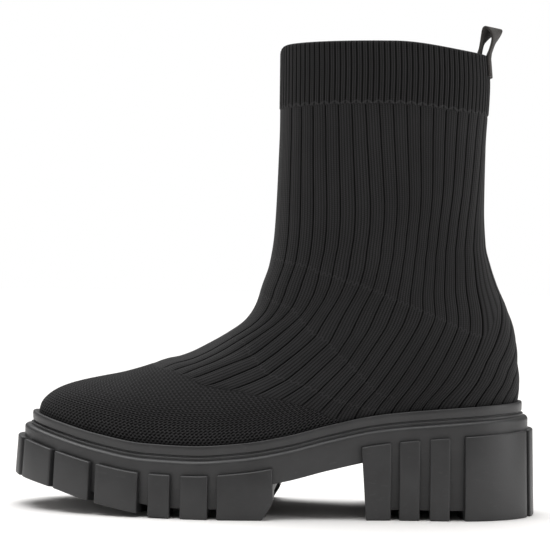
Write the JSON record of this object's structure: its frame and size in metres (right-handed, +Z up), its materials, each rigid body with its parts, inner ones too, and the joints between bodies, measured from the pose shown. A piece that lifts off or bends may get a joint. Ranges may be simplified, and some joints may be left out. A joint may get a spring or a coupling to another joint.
{
  "type": "platform ankle boot",
  "caption": "Pull-on ankle boot with a knitted sock upper, a pull loop at the back, a platform sole with side lugs and a block heel; left shoe.",
  "frame": {"origin": "on the floor, under the middle of the boot's length and width", "axes": "+X from toe to heel, +Y from the lateral (outer) side to the medial side, +Z up from the floor"},
  "size_m": [0.2758, 0.1103, 0.2554],
  "materials": {
    "knit": "black ribbed knit, matt with a faint sheen",
    "rubber": "charcoal moulded rubber, satin, lighter along its edges",
    "webbing": "black woven tape, matt",
    "lining": "black brushed textile, matt"
  },
  "bodies": {
    "root": {"upper": "knit", "pull_loop": "webbing", "insole": "lining", "welt": "rubber", "midsole": "rubber", "outsole": "rubber", "heel": "rubber"}
  },
  "joints": []
}
